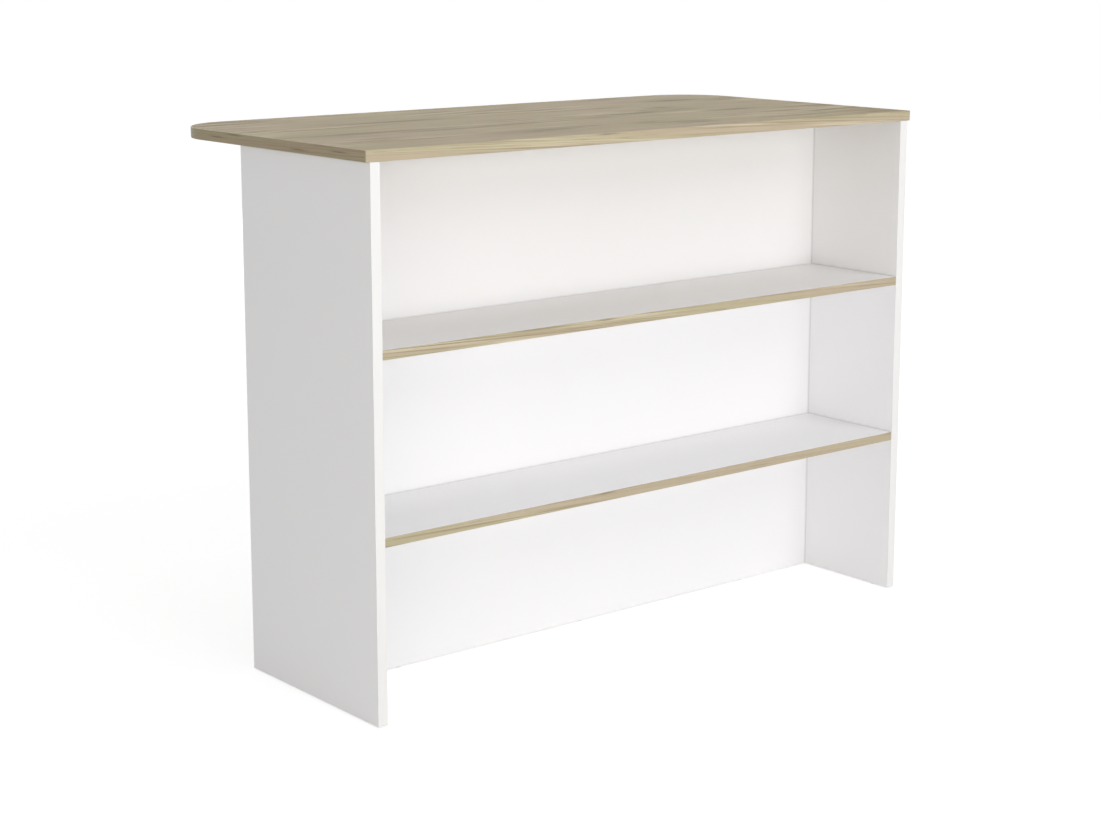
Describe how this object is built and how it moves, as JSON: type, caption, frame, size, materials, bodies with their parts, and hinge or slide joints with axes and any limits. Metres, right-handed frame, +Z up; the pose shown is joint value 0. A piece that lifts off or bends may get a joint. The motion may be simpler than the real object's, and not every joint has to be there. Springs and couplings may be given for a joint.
{
  "type": "bar counter with shelves",
  "caption": "Panel-built bar counter: oak-look worktop with rounded rear corners on white side and back panels, open shelf bays behind, cam-locked joints.",
  "frame": {"origin": "on the floor, under the middle of the worktop", "axes": "+X along the counter, to the right of someone at the shelves; +Y from the open shelves towards the customer side; +Z up"},
  "size_m": [1.2, 0.59, 0.9],
  "materials": {
    "oak_laminate": "matt oak-print melamine board, grain along the counter",
    "oak_edge_band": "oak-print plastic edge band, matt",
    "white_laminate": "white melamine-faced particle board, fine pearl texture",
    "white_edge_band": "white plastic edge band, matt",
    "zinc": "zinc die-casting, bare",
    "steel": "bright zinc-plated steel",
    "beech": "raw beech",
    "glide_plastic": "white moulded polyethylene"
  },
  "bodies": {
    "counter": {"worktop": "oak_laminate", "worktop_rim_band": "oak_edge_band", "worktop_front_band": "oak_edge_band", "upper_shelf_front_band": "oak_edge_band", "lower_shelf_front_band": "oak_edge_band", "left_side_panel": "white_laminate", "right_side_panel": "white_laminate", "back_panel": "white_laminate", "upper_shelf": "white_laminate", "lower_shelf": "white_laminate", "left_panel_front_band": "white_edge_band", "left_panel_rear_band": "white_edge_band", "right_panel_front_band": "white_edge_band", "right_panel_rear_band": "white_edge_band", "upper_shelf_cam_bolts": "steel", "upper_shelf_dowels": "beech", "lower_shelf_cam_bolts": "steel", "lower_shelf_dowels": "beech", "back_panel_cam_bolts": "steel", "back_panel_dowels": "beech", "worktop_cam_bolts": "steel", "worktop_dowels": "beech", "left_front_glide": "glide_plastic", "left_rear_glide": "glide_plastic", "right_front_glide": "glide_plastic", "right_rear_glide": "glide_plastic", "back_left_glide": "glide_plastic", "back_middle_glide": "glide_plastic", "back_right_glide": "glide_plastic", "glide_nails": "steel"},
    "upper_shelf_left_front_cam": {"upper_shelf_left_front_cam": "zinc"},
    "upper_shelf_left_rear_cam": {"upper_shelf_left_rear_cam": "zinc"},
    "upper_shelf_right_front_cam": {"upper_shelf_right_front_cam": "zinc"},
    "upper_shelf_right_rear_cam": {"upper_shelf_right_rear_cam": "zinc"},
    "lower_shelf_left_front_cam": {"lower_shelf_left_front_cam": "zinc"},
    "lower_shelf_left_rear_cam": {"lower_shelf_left_rear_cam": "zinc"},
    "lower_shelf_right_front_cam": {"lower_shelf_right_front_cam": "zinc"},
    "lower_shelf_right_rear_cam": {"lower_shelf_right_rear_cam": "zinc"},
    "back_panel_left_low_cam": {"back_panel_left_low_cam": "zinc"},
    "back_panel_left_high_cam": {"back_panel_left_high_cam": "zinc"},
    "back_panel_right_low_cam": {"back_panel_right_low_cam": "zinc"},
    "back_panel_right_high_cam": {"back_panel_right_high_cam": "zinc"},
    "worktop_left_side_cam": {"worktop_left_side_cam": "zinc"},
    "worktop_left_back_cam": {"worktop_left_back_cam": "zinc"},
    "worktop_right_side_cam": {"worktop_right_side_cam": "zinc"},
    "worktop_right_back_cam": {"worktop_right_back_cam": "zinc"}
  },
  "joints": [
    {"name": "upper_shelf_left_front_cam_turn", "type": "hinge", "parent": "counter", "child": "upper_shelf_left_front_cam", "pos_m": [-0.551, -0.25, 0.581], "axis": [0, 0, -1], "range_deg": [0, 180]},
    {"name": "upper_shelf_left_rear_cam_turn", "type": "hinge", "parent": "counter", "child": "upper_shelf_left_rear_cam", "pos_m": [-0.551, -0.125, 0.581], "axis": [0, 0, -1], "range_deg": [0, 180]},
    {"name": "upper_shelf_right_front_cam_turn", "type": "hinge", "parent": "counter", "child": "upper_shelf_right_front_cam", "pos_m": [0.551, -0.25, 0.581], "axis": [0, 0, -1], "range_deg": [0, 180]},
    {"name": "upper_shelf_right_rear_cam_turn", "type": "hinge", "parent": "counter", "child": "upper_shelf_right_rear_cam", "pos_m": [0.551, -0.125, 0.581], "axis": [0, 0, -1], "range_deg": [0, 180]},
    {"name": "lower_shelf_left_front_cam_turn", "type": "hinge", "parent": "counter", "child": "lower_shelf_left_front_cam", "pos_m": [-0.551, -0.25, 0.288], "axis": [0, 0, -1], "range_deg": [0, 180]},
    {"name": "lower_shelf_left_rear_cam_turn", "type": "hinge", "parent": "counter", "child": "lower_shelf_left_rear_cam", "pos_m": [-0.551, -0.125, 0.288], "axis": [0, 0, -1], "range_deg": [0, 180]},
    {"name": "lower_shelf_right_front_cam_turn", "type": "hinge", "parent": "counter", "child": "lower_shelf_right_front_cam", "pos_m": [0.551, -0.25, 0.288], "axis": [0, 0, -1], "range_deg": [0, 180]},
    {"name": "lower_shelf_right_rear_cam_turn", "type": "hinge", "parent": "counter", "child": "lower_shelf_right_rear_cam", "pos_m": [0.551, -0.125, 0.288], "axis": [0, 0, -1], "range_deg": [0, 180]},
    {"name": "back_panel_left_low_cam_turn", "type": "hinge", "parent": "counter", "child": "back_panel_left_low_cam", "pos_m": [-0.551, -0.065, 0.15], "axis": [0, 1, 0], "range_deg": [0, 180]},
    {"name": "back_panel_left_high_cam_turn", "type": "hinge", "parent": "counter", "child": "back_panel_left_high_cam", "pos_m": [-0.551, -0.065, 0.74], "axis": [0, 1, 0], "range_deg": [0, 180]},
    {"name": "back_panel_right_low_cam_turn", "type": "hinge", "parent": "counter", "child": "back_panel_right_low_cam", "pos_m": [0.551, -0.065, 0.15], "axis": [0, 1, 0], "range_deg": [0, 180]},
    {"name": "back_panel_right_high_cam_turn", "type": "hinge", "parent": "counter", "child": "back_panel_right_high_cam", "pos_m": [0.551, -0.065, 0.74], "axis": [0, 1, 0], "range_deg": [0, 180]},
    {"name": "worktop_left_side_cam_turn", "type": "hinge", "parent": "counter", "child": "worktop_left_side_cam", "pos_m": [-0.575, 0.02, 0.858], "axis": [1, 0, 0], "range_deg": [0, 180]},
    {"name": "worktop_left_back_cam_turn", "type": "hinge", "parent": "counter", "child": "worktop_left_back_cam", "pos_m": [-0.3, -0.065, 0.858], "axis": [0, 1, 0], "range_deg": [0, 180]},
    {"name": "worktop_right_side_cam_turn", "type": "hinge", "parent": "counter", "child": "worktop_right_side_cam", "pos_m": [0.575, 0.02, 0.858], "axis": [-1, 0, 0], "range_deg": [0, 180]},
    {"name": "worktop_right_back_cam_turn", "type": "hinge", "parent": "counter", "child": "worktop_right_back_cam", "pos_m": [0.3, -0.065, 0.858], "axis": [0, 1, 0], "range_deg": [0, 180]}
  ]
}
